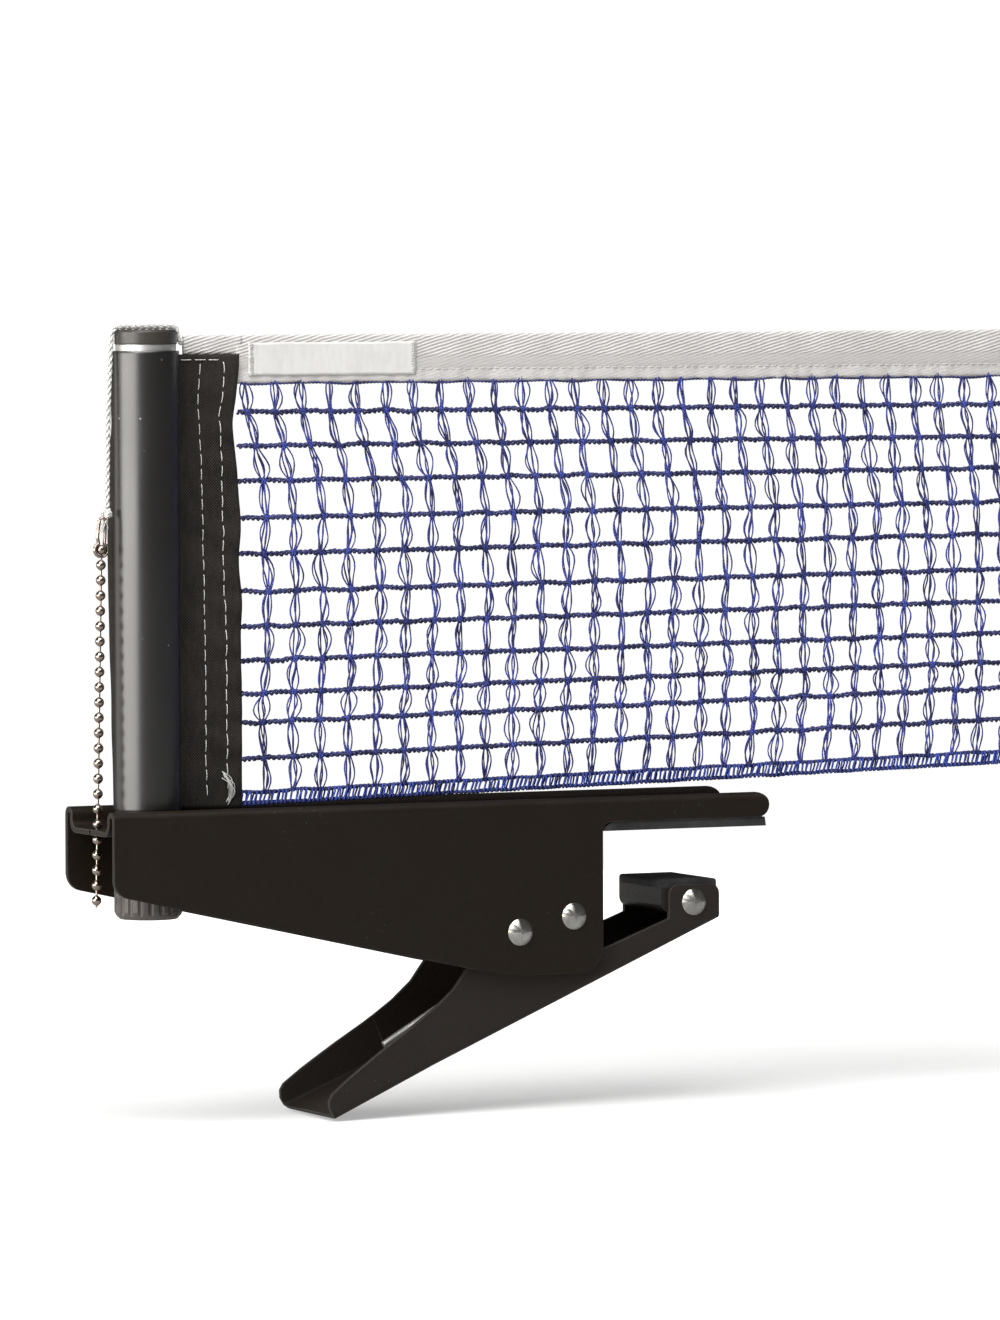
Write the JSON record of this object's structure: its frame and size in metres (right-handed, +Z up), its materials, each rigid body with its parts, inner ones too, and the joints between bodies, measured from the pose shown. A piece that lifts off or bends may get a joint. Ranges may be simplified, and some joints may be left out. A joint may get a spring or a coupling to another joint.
{
  "type": "table tennis net clamp",
  "caption": "Spring clip clamp that grips a table's edge and holds a round net post with screw height adjustment, a cord and bead chain tensioner and the near stretch of net.",
  "frame": {"origin": "the corner where the table's edge meets the upper jaw's lining, on the net's mid-plane", "axes": "+X from the post over the table along the net, +Y square to the net, +Z up"},
  "size_m": [0.3436, 0.0424, 0.2404],
  "materials": {
    "bracket_powder_coat": "satin black powder coat on pressed steel",
    "lever_powder_coat": "satin black powder coat on pressed steel",
    "post_lacquer": "smooth satin black lacquer",
    "rivet_nickel": "nickel-plated, lightly scuffed",
    "chain_nickel": "nickel-plated",
    "ring_nickel": "bright",
    "plain_steel": "zinc-plated",
    "spring_steel": "blackened, oiled",
    "nylon": "natural nylon",
    "jaw_rubber": "matt",
    "black_plastic": "matt moulded",
    "cap_plastic": "semi-gloss moulded",
    "knob_plastic": "matt moulded, fluted",
    "white_cord": "twisted polyester",
    "black_fabric": "plain-weave polyester",
    "white_tape": "cotton twill tape",
    "label_fabric": "woven satin label, bare",
    "blue_yarn": "knitted nylon yarn"
  },
  "bodies": {
    "bracket": {"bracket": "bracket_powder_coat", "upper_jaw_pad": "jaw_rubber", "pivot_rivet": "rivet_nickel", "stop_rivet": "rivet_nickel", "stop_spacer": "plain_steel", "spring_bush": "nylon", "pivot_washers": "nylon", "torsion_spring": "spring_steel", "guide_bush": "black_plastic", "bead_chain": "chain_nickel", "chain_clasp": "chain_nickel", "cord_knot": "white_cord"},
    "lever": {"lever": "lever_powder_coat", "jaw_rivet": "rivet_nickel"},
    "jaw_pad": {"jaw_pad_carrier": "black_plastic", "jaw_pad_face": "jaw_rubber"},
    "knob": {"height_knob": "knob_plastic", "height_screw": "plain_steel", "screw_clip": "plain_steel"},
    "post": {"post_shell": "post_lacquer", "post_core": "plain_steel", "post_cap": "cap_plastic", "cap_ring": "ring_nickel", "post_foot": "black_plastic", "tension_cord": "white_cord", "net_sleeve": "black_fabric", "net_tape": "white_tape", "net_label": "label_fabric", "net_mesh": "blue_yarn", "net_band": "blue_yarn", "end_sleeve": "black_fabric", "end_loop": "white_cord"}
  },
  "joints": [
    {"name": "lever_pivot", "type": "hinge", "parent": "bracket", "child": "lever", "pos_m": [-0.028, 0, -0.03], "axis": [0, 1, 0], "range_deg": [-12, 20], "stiffness_Nm_per_rad": 3, "deforming": ["torsion_spring"]},
    {"name": "jaw_pad_tilt", "type": "hinge", "parent": "lever", "child": "jaw_pad", "pos_m": [0.0325, 0, -0.023], "axis": [0, 1, 0], "range_deg": [-10, 10]},
    {"name": "knob_turn", "type": "hinge", "parent": "bracket", "child": "knob", "pos_m": [-0.1425, 0, 0], "axis": [0, 0, 1], "range_deg": [-1081, 1081]},
    {"name": "post_lift", "type": "slide", "parent": "bracket", "child": "post", "axis": [0, 0, 1], "range_m": [-0.003, 0.003], "deforming": ["tension_cord"]}
  ],
  "couplings": [
    {"joint": "knob_turn", "follows": "post_lift", "rad_per_m": -6283.2}
  ]
}
